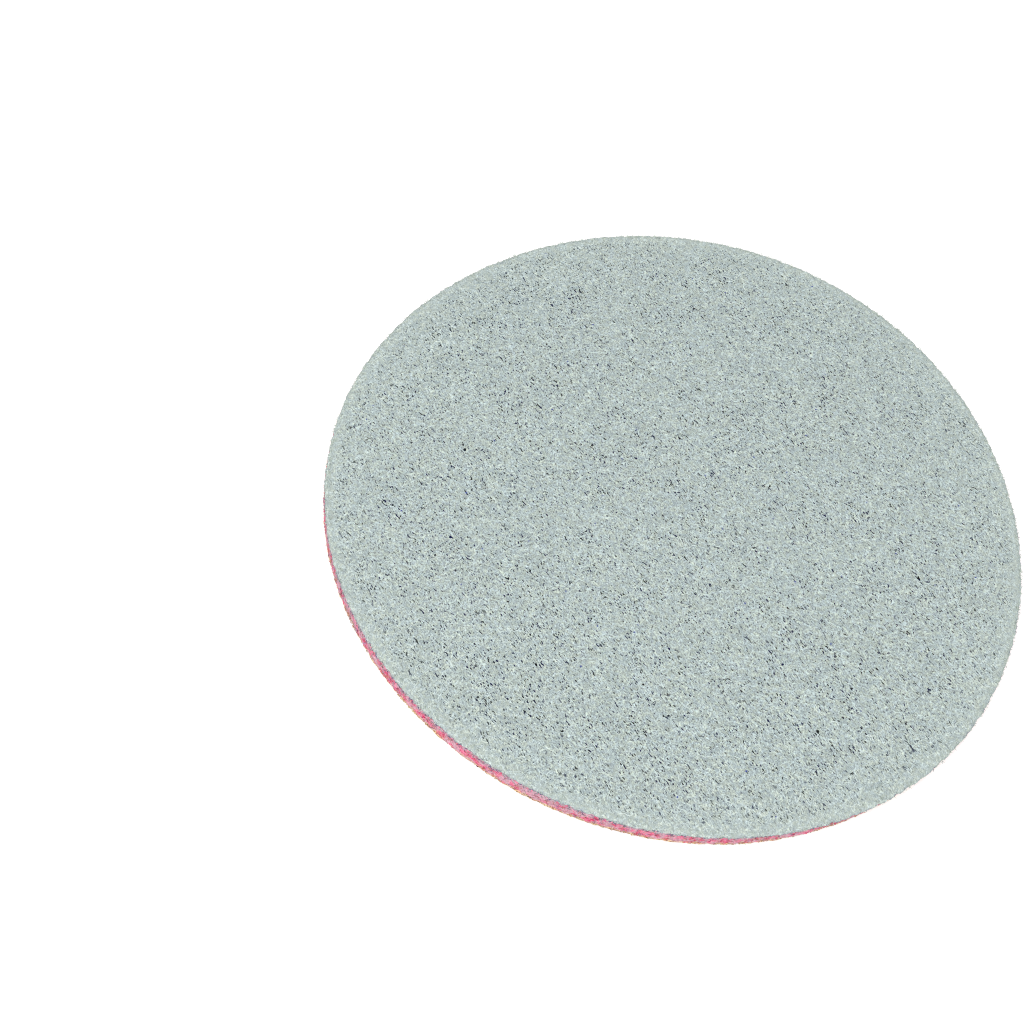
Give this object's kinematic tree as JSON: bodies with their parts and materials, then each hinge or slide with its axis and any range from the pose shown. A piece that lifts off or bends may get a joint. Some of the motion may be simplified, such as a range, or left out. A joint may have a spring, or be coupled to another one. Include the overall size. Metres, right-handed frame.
{
  "type": "non-woven abrasive disc",
  "caption": "Round sanding disc of open non-woven abrasive web, bonded to a looped fleece backing that grips a hook-faced sander pad.",
  "frame": {"origin": "under the disc's centre, on the surface that the web's crests rest on", "axes": "+Z along the disc's axis, up through the fleece; -Y is the near side in the picture"},
  "size_m": [0.1501, 0.1503, 0.0055],
  "materials": {
    "web": "matte open web of curly maroon fibres, with resin and fine abrasive grain on them",
    "fleece": "matte pale grey-green needled fleece with small dark pits"
  },
  "bodies": {
    "root": {"abrasive_web": "web", "loop_backing": "fleece"}
  },
  "joints": []
}
